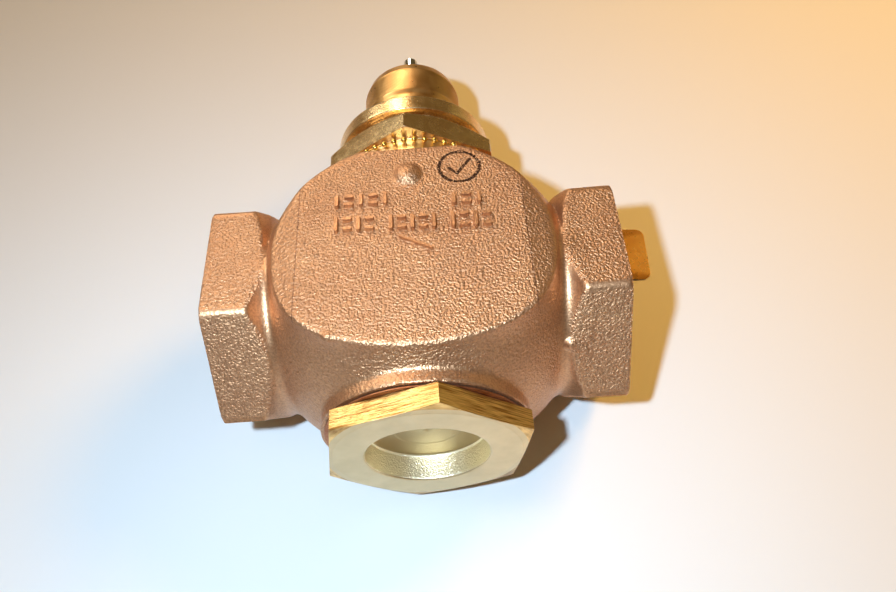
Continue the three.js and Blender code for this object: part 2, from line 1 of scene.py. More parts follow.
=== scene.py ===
"""Looks of a two-port threaded globe valve for heating water, lying on its back pad.

Sizes below are in millimetres and are turned into metres when a mesh is made.
The pipe runs along X, the stem along Y, and both axes are AXIS_Z above the floor.
"""
import itertools
import math

import bpy
import numpy as np
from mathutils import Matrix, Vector, noise


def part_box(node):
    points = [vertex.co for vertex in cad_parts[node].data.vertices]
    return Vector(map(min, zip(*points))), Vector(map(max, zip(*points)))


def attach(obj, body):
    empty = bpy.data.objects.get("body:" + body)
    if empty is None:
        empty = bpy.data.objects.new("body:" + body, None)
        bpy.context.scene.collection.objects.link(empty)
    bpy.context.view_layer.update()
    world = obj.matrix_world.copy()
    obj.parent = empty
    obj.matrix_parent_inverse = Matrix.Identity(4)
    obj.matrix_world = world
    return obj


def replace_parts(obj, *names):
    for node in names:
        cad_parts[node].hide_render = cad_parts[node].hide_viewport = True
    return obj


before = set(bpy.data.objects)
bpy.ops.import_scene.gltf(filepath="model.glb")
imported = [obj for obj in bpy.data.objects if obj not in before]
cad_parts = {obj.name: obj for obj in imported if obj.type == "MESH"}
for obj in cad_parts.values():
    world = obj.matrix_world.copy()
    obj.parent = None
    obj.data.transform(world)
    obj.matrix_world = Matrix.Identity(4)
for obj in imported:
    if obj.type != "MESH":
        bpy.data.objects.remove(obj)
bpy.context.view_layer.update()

MM = 0.001


def corners(name):
    """A CAD node's lowest and highest corners, in millimetres."""
    return np.round(np.array([tuple(corner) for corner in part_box(name)]) / MM, 2)


# ---------------- sizes, in millimetres

CASTING_LOW, CASTING_HIGH = corners("body_casting")
BONNET_LOW, BONNET_HIGH = corners("bonnet")
CAP_LOW, CAP_HIGH = corners("packing_cap")
PLUG_LOW, PLUG_HIGH = corners("bottom_plug")

AXIS_Z = corners("stem")[:, 2].mean()

# Casting: the egg-shaped body's half sizes, from where the two axes cross
EGG_X, EGG_Z = 45.3, 46.0
EGG_DOWN, EGG_UP = 42.0, 45.5
# Casting: flat front and back pads, which lean back beyond PAD_FLAT_X; a PAD_POWER of 2 is an ellipse
PAD_X, PAD_DOWN, PAD_UP = 35.3, 30.8, 31.0
PAD_POWER = 2.6
PAD_FLAT_X = 28.5
PAD_LEAN = math.radians(18)
KNOB_X, KNOB_Y, KNOB_RADIUS, KNOB_HEIGHT = -0.5, 20.3, 3.4, 2.0
# Casting: faced top, bottom boss, and necks that run out to the hexagonal ends
TOP_FACE_Y = 30.0
BOSS_RADIUS, BOSS_ROOT_Y, BOSS_FACE_Y = 26.5, -20.0, CASTING_LOW[1]
NECK_RADIUS, NECK_END_X = 25.5, 36.8
END_X = CASTING_HIGH[0]
END_FLATS = 55.0
END_HEX_X = 39.6
END_CONE_RUN = 1.4
# Casting: inside
WALL = 6.0
PASSAGE_RADIUS, PASSAGE_START_X = 16.5, 22.0
SOCKET_DEPTH = 19.0
THREAD_MAJOR, THREAD_MINOR, THREAD_PITCH = 20.95, 19.5, 2.309
TOP_HOLE, BOTTOM_HOLE, SEAT_HOLE = 20.0, 19.5, 16.3
CHAMBER_TOP_Y, CHAMBER_BOTTOM_Y = 23.5, -30.0
WEB_HALF = 2.4

# Bonnet
BONNET_START_Y, BONNET_END_Y = BONNET_LOW[1], BONNET_HIGH[1]
COLLAR_RADIUS, COLLAR_START_Y = 22.7, 31.8
BONNET_FLATS, BONNET_TURN = 48.2, math.radians(-2.6)
BONNET_HEX_Y, BONNET_CORNER_Y = 43.15, 48.2
WAIST_RADIUS, WAIST_Y = 21.0, 53.0
FLANGE_RADIUS, FLANGE_Y, FLANGE_END_Y = 23.9, 54.7, 60.0
SPIGOT_RADIUS = 13.2
DISC_BORE, DISC_BORE_END_Y = 16.9, 34.5
PACKING_BORE, PACKING_FLOOR_Y = 6.6, 50.0
BUSH_BORE, BUSH_FLOOR_Y = 5.3, 36.5
STEM_BORE = 3.3

# Packing cap: the gland is the round boss inside that presses on the packing
CAP_RADIUS, CAP_SKIRT = CAP_HIGH[0], 15.0
CAP_START_Y, CAP_KNURL_Y, KNURL_END_Y, CAP_END_Y = CAP_LOW[1], 73.4, 82.6, 86.9
CAP_THREAD, CAP_FLOOR_Y = 13.5, 79.3
GLAND_RADIUS, GLAND_Y, CAP_HOLE = 6.3, 76.2, 2.9
KNURL_TEETH, KNURL_PITCH, KNURL_DEPTH = 132, 0.75, 0.2

# Bottom plug
PLUG_FLATS, PLUG_TURN = 48.4, math.radians(9.1)
PLUG_FACE_Y, PLUG_HEX_Y, PLUG_END_Y = PLUG_LOW[1] - 0.4, -38.75, PLUG_HIGH[1]
PLUG_FACE_RADIUS, PLUG_THREAD = 23.6, 19.2
PLUG_RECESS, PLUG_RECESS_DEPTH = 15.6, 7.2
FLOOR_RING, CENTRE_MARK = 8.2, 0.8

# Bead chain and tag
BEAD_RADIUS, BEAD_PITCH, CHAIN_ROD = 0.85, 2.97, 0.18
LOOP_RADIUS = COLLAR_RADIUS + BEAD_RADIUS + 0.15
LOOP_Y = BONNET_HEX_Y - BEAD_RADIUS - 0.5
TAG_LENGTH, TAG_WIDTH, TAG_THICKNESS = 47.0, 21.0, 0.6
TAG_CORNER, TAG_HOLE, TAG_HOLE_INSET = 2.8, 2.4, 4.0
TAG_X, TAG_Y, TAG_LIFT = 29.0, 38.7, 2.0
TAG_YAW = math.radians(-3)
TAG_PITCH = math.asin(TAG_LIFT / TAG_LENGTH)

SIN_60 = math.sin(math.radians(60))

# ---------------- meshes

def piece(name, vertices, faces, body, slot, sharp=32):
    """A mesh object from points in millimetres, smooth but for edges over `sharp` degrees."""
    mesh = bpy.data.meshes.new(name)
    mesh.from_pydata((np.asarray(vertices, float) * MM).tolist(), [], [tuple(f) for f in faces])
    mesh.validate()
    mesh.polygons.foreach_set("use_smooth", [True] * len(mesh.polygons))
    mesh.set_sharp_from_angle(angle=math.radians(sharp))
    made = bpy.data.objects.new(name, mesh)
    bpy.context.scene.collection.objects.link(made)
    made.data.materials.append(MATERIALS[slot])
    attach(made, body)
    return made


def stand_in(node_name, shell, body, slot, sharp=32):
    """A piece that replaces the CAD node it is named after."""
    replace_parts(piece(node_name + "_skin", *shell, body, slot, sharp), node_name)


def joined(*shells):
    """Several (vertices, faces) as one."""
    vertices, faces, start = [], [], 0
    for shell_vertices, shell_faces in shells:
        vertices.append(np.asarray(shell_vertices, float))
        faces.extend(tuple(int(i) + start for i in face) for face in shell_faces)
        start += len(shell_vertices)
    return np.concatenate(vertices), faces


def ring_faces(rings, sides, closed=False):
    """Quads from each ring of points to the next, and from the last to the first if closed."""
    faces = []
    for i in range(rings if closed else rings - 1):
        low, high = i * sides, (i + 1) % rings * sides
        for k in range(sides):
            n = (k + 1) % sides
            faces.append((low + k, low + n, high + n, high + k))
    return faces


def filleted(profile, radius=0.3, steps=3):
    """A closed outline of (r, y) points with each corner rounded as far as its sides allow."""
    points = [Vector(p) for p in profile]
    rounded = []
    for i, corner in enumerate(points):
        before, after = points[i - 1] - corner, points[(i + 1) % len(points)] - corner
        if corner.x == 0:
            rounded.append(tuple(corner))
            continue
        reach = min(radius, before.length * 0.45, after.length * 0.45)
        start = corner + before.normalized() * reach
        end = corner + after.normalized() * reach
        for k in range(steps + 1):
            t = k / steps
            point = start * (1 - t) ** 2 + corner * 2 * t * (1 - t) + end * t ** 2
            rounded.append(tuple(point))
    return rounded


def split_long(profile, longest):
    """The same closed outline with its long sides cut into even steps."""
    result = []
    for i, (r, y) in enumerate(profile):
        r1, y1 = profile[(i + 1) % len(profile)]
        count = max(1, math.ceil(math.hypot(r1 - r, y1 - y) / longest))
        result.extend((r + (r1 - r) * k / count, y + (y1 - y) * k / count) for k in range(count))
    return result


def soft_least(a, b, radius):
    """The smaller of a and b, with the edge between them rounded."""
    overlap = np.maximum(radius - np.abs(a - b), 0)
    return np.minimum(a, b) - overlap ** 2 / (4 * radius)


def hexagon_radius(angles, flats, turn):
    """How far a hexagon's side is from its middle; turn 0 puts a corner at +Z."""
    sector = math.radians(60)
    wrapped = (angles - turn) % sector - sector / 2
    return flats / 2 / np.cos(wrapped)


def hexagonal(flats, turn, low, high, inner=0.0):
    """A shape for turned(): a hexagon from y low to y high, for radii beyond inner."""
    def shape(r, y, angles):
        flat = np.full(len(angles), r)
        if r < inner or not low <= y <= high:
            return flat
        return soft_least(flat, hexagon_radius(angles, flats, turn), 0.3)

    return shape


def turned(profile, sides=160, shape=None):
    """A closed (r, y) outline swept about the stem axis. shape(r, y, angles) may change the radii."""
    angles = np.arange(sides) * 2 * math.pi / sides
    rings, faces, vertices = [], [], []
    for r, y in profile:
        if r == 0:
            rings.append([len(vertices)])
            vertices.append((0, y, AXIS_Z))
            continue
        radii = np.full(sides, r) if shape is None else shape(r, y, angles)
        rings.append(list(range(len(vertices), len(vertices) + sides)))
        vertices.extend(zip(radii * np.sin(angles), np.full(sides, y), AXIS_Z + radii * np.cos(angles)))
    for low, high in zip(rings, rings[1:] + rings[:1]):
        if len(low) == len(high) == 1:
            continue
        for i in range(sides):
            j = (i + 1) % sides
            if len(low) == 1:
                faces.append((low[0], high[i], high[j]))
            elif len(high) == 1:
                faces.append((low[j], low[i], high[0]))
            else:
                faces.append((low[j], low[i], high[i], high[j]))
    return np.array(vertices, float), faces


def box_bar(start, end, width, low, high, taper=0.72):
    """A raised bar from start to end in XY, wide at its foot z=low and narrower at z=high."""
    start, end = np.array(start, float), np.array(end, float)
    along = (end - start) / np.linalg.norm(end - start)
    across = np.array([-along[1], along[0]])
    steps = 8
    vertices = []
    for z, share in ((low, 1.0), (low + (high - low) * 0.75, 0.9), (high, taper)):
        half = width / 2 * share
        for centre, first in ((end, -90), (start, 90)):
            for k in range(steps + 1):
                angle = math.radians(first + 180 * k / steps)
                point = centre + half * (math.cos(angle) * along + math.sin(angle) * across)
                vertices.append((*point, z))
    ring = 2 * (steps + 1)
    ends = [tuple(range(ring))[::-1], tuple(range(2 * ring, 3 * ring))]
    return vertices, ends + ring_faces(3, ring)


# ---------------- the casting as a distance field

def soft_most(a, b, radius):
    """The larger of a and b, with the edge between them rounded."""
    return -soft_least(-a, -b, radius)


def ramp(values, start, end):
    """0 up to start, 1 beyond end, and a straight line between."""
    return np.clip((values - start) / (end - start), 0, 1)


def egg_distance(x, y, z, inset=0.0):
    """About how far a point is outside the egg-shaped body, made smaller by inset."""
    half_y = np.where(y < 0, EGG_DOWN, EGG_UP) - inset
    px, py, pz = x / (EGG_X - inset), y / half_y, z / (EGG_Z - inset)
    size = np.sqrt(px ** 2 + py ** 2 + pz ** 2) + 1e-9
    slope = np.sqrt((px / (EGG_X - inset)) ** 2 + (py / half_y) ** 2 + (pz / (EGG_Z - inset)) ** 2) + 1e-9
    return size * (size - 1) / slope


def pad_distance(x, y):
    """How far a point is outside the pads' outline, seen from the front."""
    power = np.where(y < 0, PAD_POWER, 2.0)
    half_y = np.where(y < 0, PAD_DOWN, PAD_UP)
    px, py = np.abs(x) / PAD_X + 1e-6, np.abs(y) / half_y + 1e-6
    size = (px ** power + py ** power) ** (1 / power)
    slope = np.hypot((px / size) ** (power - 1) / PAD_X, (py / size) ** (power - 1) / half_y)
    return (size - 1) / slope


def end_distance(side, y, z, pipe_r):
    """One hexagonal end, with the turned cone and the root that lead from it to the neck.

    side is |x|, and pipe_r is the distance from the pipe's axis.
    """
    half = END_FLATS / 2
    flats = np.abs(y) * SIN_60 + np.abs(z) * 0.5 - half
    hexagon = soft_most(flats, np.abs(z) - half, 1.5)
    corner = END_FLATS / math.sqrt(3)
    cone_start = END_HEX_X - END_CONE_RUN
    rise = corner - half
    cone = (-(side - cone_start) * rise + (pipe_r - half) * END_CONE_RUN) / math.hypot(rise, END_CONE_RUN)
    step = half - NECK_RADIUS
    run = cone_start - NECK_END_X
    root = (-(side - NECK_END_X) * step + (pipe_r - NECK_RADIUS) * run) / math.hypot(step, run)
    chamfer = (side - END_X + pipe_r - corner + 0.9) * math.sqrt(0.5)
    block = soft_most(hexagon, soft_most(cone, root, 0.5), 0.7)
    return soft_most(soft_most(block, chamfer, 0.3), side - END_X, 0.35)


def web_distance(x, y):
    """The sloping web that carries the seat, seen along Z."""
    seat_x, wall_x, end_x, rise = 21.5, 31, 34, 19.95
    route = [(-end_x, rise), (-wall_x, rise), (-seat_x, 0), (seat_x, 0), (wall_x, -rise), (end_x, -rise)]
    nearest = np.full(x.shape, 1e3)
    for (x0, y0), (x1, y1) in zip(route, route[1:]):
        dx, dy = x1 - x0, y1 - y0
        t = np.clip(((x - x0) * dx + (y - y0) * dy) / (dx * dx + dy * dy), 0, 1)
        nearest = np.minimum(nearest, np.hypot(x - x0 - t * dx, y - y0 - t * dy))
    return nearest - WEB_HALF


def blob(x, y, z, centre, radii):
    """About how far a point is outside a small ellipsoid."""
    size = np.sqrt(sum(((p - c) / r) ** 2 for p, c, r in zip((x, y, z), centre, radii)))
    return (size - 1) * min(radii)


# Small lumps that the sand mould left: centre and half sizes, z from the axis.
LUMPS = [
    ((-20.2, -27.6, 31.2), (1.3, 1.0, 1.1)),
    ((-35.2, -19.6, 17.4), (1.3, 1.2, 1.2)),
    ((37.4, -23.2, 13.7), (1.5, 1.5, 1.6)),
]


def outside_distance(x, y, z):
    """How far points are outside the casting's outer form, z being from the axis.

    Each part joins the rest with a fillet, and the fillets at the ends grow towards the plug.
    """
    side, depth = np.abs(x), np.abs(z)
    pipe_r, stem_r = np.hypot(y, z), np.hypot(x, z)
    lean = (depth - AXIS_Z) * math.cos(PAD_LEAN) + (side - PAD_FLAT_X) * math.sin(PAD_LEAN)
    envelope = soft_most(depth - AXIS_Z, lean, 0.25)
    outer = soft_most(soft_least(egg_distance(x, y, z), pad_distance(x, y), 2.2), envelope, 1.1)

    lower = ramp(-y, -6, 4)
    neck = np.maximum(pipe_r - NECK_RADIUS, side - END_HEX_X)
    outer = soft_least(outer, neck, 1.2 + 2.4 * lower)
    boss = np.maximum(np.maximum(stem_r - BOSS_RADIUS, y - BOSS_ROOT_Y), BOSS_FACE_Y - y)
    outer = soft_least(outer, boss, 0.8)
    outer = soft_least(outer, end_distance(side, y, z, pipe_r), 0.9 + 3.1 * lower)
    knob = blob(x, y, z, (KNOB_X, KNOB_Y, AXIS_Z), (KNOB_RADIUS, KNOB_RADIUS, KNOB_HEIGHT))
    outer = soft_least(outer, knob, 0.7)
    for centre, radii in LUMPS:
        outer = soft_least(outer, blob(x, y, z, centre, radii), 0.8)
    return soft_most(soft_most(outer, y - TOP_FACE_Y, 0.6), BOSS_FACE_Y - y, 0.35)


def casting_distance(points):
    """How far points are outside the metal of the casting; negative inside it."""
    x, y, z = points[..., 0], points[..., 1], points[..., 2] - AXIS_Z
    side, depth = np.abs(x), np.abs(z)
    pipe_r, stem_r = np.hypot(y, z), np.hypot(x, z)

    chamber = np.maximum(egg_distance(x, y, z, WALL), depth - AXIS_Z + WALL)
    chamber = np.maximum(np.maximum(chamber, y - CHAMBER_TOP_Y), CHAMBER_BOTTOM_Y - y)
    passage = np.maximum(pipe_r - PASSAGE_RADIUS, PASSAGE_START_X - side)
    socket = np.maximum(pipe_r - THREAD_MAJOR - 0.15, END_X - SOCKET_DEPTH - side)
    mouth = np.maximum(pipe_r - THREAD_MAJOR - 1.2 - side + END_X, END_X - 3 - side) * math.sqrt(0.5)
    top = np.maximum(stem_r - TOP_HOLE, 10 - y)
    bottom = np.maximum(stem_r - BOTTOM_HOLE, y - BOSS_ROOT_Y)
    hollow = np.minimum.reduce([soft_least(chamber, passage, 3.0), socket, mouth, top, bottom])
    metal = soft_most(outside_distance(x, y, z), -hollow, 0.5)

    web = np.maximum(web_distance(x, y), egg_distance(x, y, z, 2.5))
    metal = soft_least(metal, np.maximum(web, depth - AXIS_Z + 2), 1.5)
    seat = np.maximum(stem_r - SEAT_HOLE, np.abs(y) - 8)
    return np.maximum(np.maximum(metal, -seat), -top)


def slopes(distance, points, reach=0.04):
    """Unit normals of a distance field at points."""
    normals = np.empty_like(points)
    for axis in range(3):
        step = np.zeros(3)
        step[axis] = reach
        normals[:, axis] = distance(points + step) - distance(points - step)
    return normals / (np.linalg.norm(normals, axis=1, keepdims=True) + 1e-12)


def contoured(distance, low, high, step):
    """Quads over the zero level of a distance field.

    Each cell that the surface crosses gets one point, put where the tangent planes at the
    cell's crossings meet, so that corners stay crisp.
    """
    axes = [np.arange(a, b + step, step) for a, b in zip(low, high)]
    grid = np.stack(np.meshgrid(*axes, indexing="ij"), -1)
    field = np.concatenate([distance(grid[i:i + 20]) for i in range(0, len(grid), 20)])
    shape = field.shape
    cells, spots, normals, quads, flips = [], [], [], [], []
    for axis in range(3):
        before = [slice(None)] * 3
        after = [slice(None)] * 3
        before[axis], after[axis] = slice(None, -1), slice(1, None)
        f0, f1 = field[tuple(before)], field[tuple(after)]
        where = np.argwhere((f0 < 0) != (f1 < 0))
        start, end = f0[tuple(where.T)], f1[tuple(where.T)]
        spot = grid[tuple(where.T)].copy()
        spot[:, axis] += step * start / (start - end)
        normal = slopes(distance, spot)
        u, v = (axis + 1) % 3, (axis + 2) % 3
        around = []
        for back_u, back_v in ((1, 1), (0, 1), (0, 0), (1, 0)):
            corner = where.copy()
            corner[:, u] -= back_u
            corner[:, v] -= back_v
            around.append(np.ravel_multi_index(tuple(corner.T), shape))
            cells.append(around[-1])
            spots.append(spot)
            normals.append(normal)
        quads.append(np.stack(around, 1))
        flips.append(start > 0)
    cells, spots, normals = np.concatenate(cells), np.concatenate(spots), np.concatenate(normals)
    quads, flips = np.concatenate(quads), np.concatenate(flips)
    used, row = np.unique(cells, return_inverse=True)

    def total(values):
        return np.bincount(row, values, len(used))

    count = total(np.ones(len(row)))
    middle = np.stack([total(spots[:, i]) for i in range(3)], 1) / count[:, None]
    matrix = np.empty((len(used), 3, 3))
    for i, j in itertools.product(range(3), repeat=2):
        matrix[:, i, j] = total(normals[:, i] * normals[:, j])
    offset = (normals * (spots - middle[row])).sum(1)
    aim = np.stack([total(normals[:, i] * offset) for i in range(3)], 1)
    matrix += np.eye(3) * 0.06 * count[:, None, None]
    shift = np.linalg.solve(matrix, aim[..., None])[..., 0]
    vertices = middle + np.clip(shift, -step, step)
    faces = np.searchsorted(used, quads)
    faces[flips] = faces[flips][:, ::-1]
    return vertices, faces


def grain_share(points):
    """How much sand grain each point of the casting shows, from 0 to 1.

    The flats of the hexagons and the pads show most, their edges and the fillets least.
    """
    x, y, z = points[:, 0], points[:, 1], points[:, 2] - AXIS_Z
    side, depth = np.abs(x), np.abs(z)
    flats = np.abs(y) * SIN_60 + depth * 0.5
    off_edge = ramp(np.minimum(np.abs(flats - depth), depth), 0.7, 1.9)
    on_hexagon = ramp(np.maximum(flats, depth), END_FLATS / 2 - 0.7, END_FLATS / 2 - 0.3)
    on_hexagon *= side > END_HEX_X - 2
    off_crease = ramp(np.abs(pad_distance(x, y)), 0.48, 2.08)
    on_pad = ramp(depth, AXIS_Z - 3.2, AXIS_Z - 2.2) * (side < END_HEX_X - 2) * off_crease
    off_knob = ramp(np.hypot(x - KNOB_X, y - KNOB_Y), KNOB_RADIUS, KNOB_RADIUS + 1)
    on_pad *= np.where(z > 0, off_knob, 1)
    on_boss = y < BOSS_FACE_Y + 4
    least = 0.14 + 0.5 * ramp(-side, -35.5, -33.5) * np.where(on_boss, 0.4, 1)
    return np.clip(least + (1 - least) * np.maximum(on_hexagon * off_edge, on_pad), 0, 1)


def sand_rough(vertices, normals, grain):
    """Moves the points of cast skin in and out a little, and leaves machined faces alone."""
    x, y = vertices[:, 0], vertices[:, 1]
    pipe_r = np.hypot(y, vertices[:, 2] - AXIS_Z)
    machined = (np.abs(x) > END_X - 0.3) | (y > TOP_FACE_Y - 0.3) | (y < BOSS_FACE_Y + 0.3)
    machined |= (np.abs(x) > END_X - SOCKET_DEPTH) & (pipe_r < THREAD_MAJOR + 1.5)

    def bumps(height, size):
        return height * np.array([noise.noise(Vector(p) / size) for p in vertices])

    pits = bumps(0.08, 2.6) + bumps(0.05, 1.5)
    waves = bumps(0.14, 12)
    return vertices + normals * np.where(machined, 0, pits * grain + waves)[:, None]


def thread_sleeve(side):
    """The threaded wall of one socket, a thin ring let into the casting; side is 1 or -1."""
    sides, rows_a_turn = 96, 8
    start, end = END_X - SOCKET_DEPTH + 0.1, END_X - 1.1
    rows = int((end - start) / THREAD_PITCH * rows_a_turn)
    angles = np.arange(sides) * 2 * math.pi / sides
    vertices = []
    for i in range(rows + 1):
        along = start + (end - start) * i / rows
        turns = along / THREAD_PITCH + angles / (2 * math.pi)
        wave = np.abs((turns % 1) * 2 - 1)
        depth = THREAD_MINOR + (THREAD_MAJOR - THREAD_MINOR) * np.clip(1.15 * wave - 0.08, 0, 1)
        run_out = min(1.0, (end - along) / 1.5)
        radii = THREAD_MAJOR + (depth - THREAD_MAJOR) * run_out
        vertices.extend(zip(np.full(sides, along), radii * np.cos(angles), AXIS_Z + radii * np.sin(angles)))
    for along in (end, start):
        outer = np.full(sides, THREAD_MAJOR + 0.5)
        vertices.extend(zip(np.full(sides, along), outer * np.cos(angles), AXIS_Z + outer * np.sin(angles)))
    faces = []
    rings = rows + 3
    for i in range(rings):
        low, high = i * sides, (i + 1) % rings * sides
        for k in range(sides):
            n = (k + 1) % sides
            faces.append((low + k, high + k, high + n, low + n))
    vertices = np.array(vertices)
    if side < 0:
        vertices[:, 0] *= -1
        faces = [face[::-1] for face in faces]
    return vertices, faces


def raised_marks():
    """Plain raised bars on the front pad, grouped the way a foundry's marks are."""
    foot, top = 2 * AXIS_Z - 0.4, 2 * AXIS_Z + 1.1
    width = 1.15
    shells = []

    def group(left, right, base, height, count, slope=0.0):
        """Upright bars and pairs of short level bars in turn; slope tilts the line they stand on."""
        pitch = (right - left) / count
        for i in range(count):
            x = left + pitch * (i + 0.5)
            y = base + slope * (x - left)
            half = pitch * 0.24
            if i % 2:
                for level in (0.15, 0.85):
                    ends = (x - half, y + height * level), (x + half, y + height * level)
                    shells.append(box_bar(*ends, width, foot, top))
            else:
                shells.append(box_bar((x, y + 0.4), (x, y + height - 0.4), width, foot, top))

    group(-20.3, -4.9, 10.2, 3.6, 5)
    group(9.4, 19.0, 8.6, 3.6, 3)
    group(-20.2, -9.0, 2.3, 4.5, 4, -0.035)
    group(-6.4, 7.0, 1.8, 4.5, 5, -0.035)
    group(9.0, 20.3, 1.2, 4.8, 4, -0.035)
    shells.append(box_bar((-2.9, -0.5), (4.8, -4.6), 0.7, foot, top - 0.3))
    return shells


def build_casting():
    """The casting in one skin, with its threads and raised marks, and how grainy each point is."""
    step, margin = 0.7, 1.9
    low = np.array([-END_X - margin, BOSS_FACE_Y - margin, -margin])
    high = np.array([END_X + margin, TOP_FACE_Y + margin, 2 * AXIS_Z + KNOB_HEIGHT + margin])
    vertices, faces = contoured(casting_distance, low, high, step)
    grain = grain_share(vertices)
    vertices = sand_rough(vertices, slopes(casting_distance, vertices), grain)
    vertices[:, 2] = np.maximum(vertices[:, 2], 0)
    shells = [(vertices, faces), thread_sleeve(1), thread_sleeve(-1), *raised_marks()]
    skin = piece("casting_skin", *joined(*shells), "valve_body", "cast_bronze", sharp=38)
    shares = np.full(len(skin.data.vertices), 0.25)
    shares[:len(grain)] = grain
    skin.data.attributes.new("grain", "FLOAT", "POINT").data.foreach_set("value", shares)
    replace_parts(skin, "body_casting")


# ---------------- materials

def node(tree, kind, links=None, **settings):
    """A shader node; links maps an input's name or number to a socket or a value."""
    made = tree.nodes.new("ShaderNode" + kind)
    for key, value in settings.items():
        setattr(made, key, value)
    for key, value in (links or {}).items():
        if isinstance(value, bpy.types.NodeSocket):
            tree.links.new(value, made.inputs[key])
        else:
            made.inputs[key].default_value = value
    return made


def calc(tree, operation, *values, clamp=False):
    """The result of one Math node."""
    return node(tree, "Math", dict(enumerate(values)), operation=operation, use_clamp=clamp).outputs[0]


def vector_calc(tree, operation, *values, out=0):
    """The result of one Vector Math node; out is 1 for a number."""
    return node(tree, "VectorMath", dict(enumerate(values)), operation=operation).outputs[out]


def noise_node(tree, place, size_mm, detail=2.0, roughness=0.5):
    """Smooth noise about size_mm across, from 0 to 1."""
    links = {"Vector": place, "Scale": 1 / (size_mm * MM), "Detail": detail, "Roughness": roughness}
    return node(tree, "TexNoise", links).outputs["Fac"]


def between(tree, value, low, high, new_low=0.0, new_high=1.0):
    """A value from low to high, stretched to run from new_low to new_high."""
    links = {"Value": value, "From Min": low, "From Max": high, "To Min": new_low, "To Max": new_high}
    return node(tree, "MapRange", links).outputs["Result"]


def mixed(tree, share, first, second):
    """The first colour at share 0 and the second at 1."""
    made = node(tree, "Mix", data_type="RGBA")
    for socket, value in zip((made.inputs[0], made.inputs[6], made.inputs[7]), (share, first, second)):
        if isinstance(value, bpy.types.NodeSocket):
            tree.links.new(value, socket)
        else:
            socket.default_value = value
    return made.outputs[2]


def colour(red, green, blue):
    """A colour given as it looks on a screen, 0 to 255, as the linear one a shader takes."""
    def linear(value):
        share = value / 255
        return share / 12.92 if share <= 0.04045 else ((share + 0.055) / 1.055) ** 2.4

    return (linear(red), linear(green), linear(blue), 1.0)


def start_material(name, metallic=1.0):
    """A new material with its node tree, its shader and the object's coordinates."""
    material = bpy.data.materials.new(name)
    material.use_nodes = True
    tree = material.node_tree
    shader = tree.nodes["Principled BSDF"]
    shader.inputs["Metallic"].default_value = metallic
    place = node(tree, "TexCoord").outputs["Object"]
    return material, tree, shader, place


def bump(tree, height, strength, distance_mm, normal=None):
    """The shading normal over a height, laid on top of an earlier normal if one is given."""
    links = {"Height": height, "Strength": strength, "Distance": distance_mm * MM}
    if normal is not None:
        links["Normal"] = normal
    return node(tree, "Bump", links).outputs["Normal"]


def stem_coordinates(tree, place):
    """(distance from the stem axis, turn about it in radians, y), in metres."""
    x, y, z = node(tree, "SeparateXYZ", {0: place}).outputs
    height = calc(tree, "SUBTRACT", z, AXIS_Z * MM)
    square = calc(tree, "ADD", calc(tree, "MULTIPLY", x, x), calc(tree, "MULTIPLY", height, height))
    return calc(tree, "SQRT", square), calc(tree, "ARCTAN2", x, height), y


def tool_marks(tree, source, pitch_mm):
    """A wave along a coordinate in metres, as a turning tool leaves it."""
    return calc(tree, "SINE", calc(tree, "MULTIPLY", source, 2 * math.pi / (pitch_mm * MM)))


def segment_mask(tree, flat, start, end, half_width):
    """1 near the line from start to end, given in millimetres on the front pad."""
    first = Vector((*start, 0)) * MM
    whole = Vector((*end, 0)) * MM - first
    away = vector_calc(tree, "SUBTRACT", flat, tuple(first))
    reach = vector_calc(tree, "DOT_PRODUCT", away, tuple(whole), out=1)
    share = calc(tree, "DIVIDE", reach, whole.length_squared, clamp=True)
    nearest = node(tree, "VectorMath", {0: tuple(whole), "Scale": share}, operation="SCALE").outputs[0]
    distance = vector_calc(tree, "LENGTH", vector_calc(tree, "SUBTRACT", away, nearest), out=1)
    return calc(tree, "LESS_THAN", distance, half_width * MM)


def stamp_mask(tree, place):
    """The inspector's ink stamp on the front pad: a plain ring with a tick in it."""
    centre, radius, half = Vector((13.1, 21.9, 0)), 5.3, 0.42
    x, y, z = node(tree, "SeparateXYZ", {0: place}).outputs
    wobble = noise_node(tree, place, 1.4)
    flat = node(tree, "CombineXYZ", {0: x, 1: y, 2: 0.0}).outputs[0]
    off = vector_calc(tree, "LENGTH", vector_calc(tree, "SUBTRACT", flat, tuple(centre * MM)), out=1)
    gap = calc(tree, "ABSOLUTE", calc(tree, "SUBTRACT", off, radius * MM))
    ring = calc(tree, "LESS_THAN", gap, calc(tree, "MULTIPLY", wobble, 2 * half * MM))
    corner = centre.xy + Vector((-0.7, -2.4))
    short = segment_mask(tree, flat, centre.xy + Vector((-2.7, -0.3)), corner, half)
    long = segment_mask(tree, flat, corner, centre.xy + Vector((2.9, 2.5)), half)
    ink = calc(tree, "MAXIMUM", ring, calc(tree, "MAXIMUM", short, long))
    worn = calc(tree, "GREATER_THAN", noise_node(tree, place, 0.5, 1.0), 0.38)
    front = calc(tree, "GREATER_THAN", z, (2 * AXIS_Z - 2) * MM)
    return calc(tree, "MULTIPLY", calc(tree, "MULTIPLY", ink, worn), front)


def painted_crease_shade_mask(tree, place):
    """1 on the thin lines where the pads start to lean back, where a painted shade line darkens the crease.
    """
    x, _, z = node(tree, "SeparateXYZ", {0: place}).outputs
    off_line = calc(tree, "SUBTRACT", calc(tree, "ABSOLUTE", x), PAD_FLAT_X * MM)
    on_line = calc(tree, "LESS_THAN", calc(tree, "ABSOLUTE", off_line), 0.16 * MM)
    depth = calc(tree, "ABSOLUTE", calc(tree, "SUBTRACT", z, AXIS_Z * MM))
    return calc(tree, "MULTIPLY", on_line, calc(tree, "GREATER_THAN", depth, (AXIS_Z - 1.5) * MM))


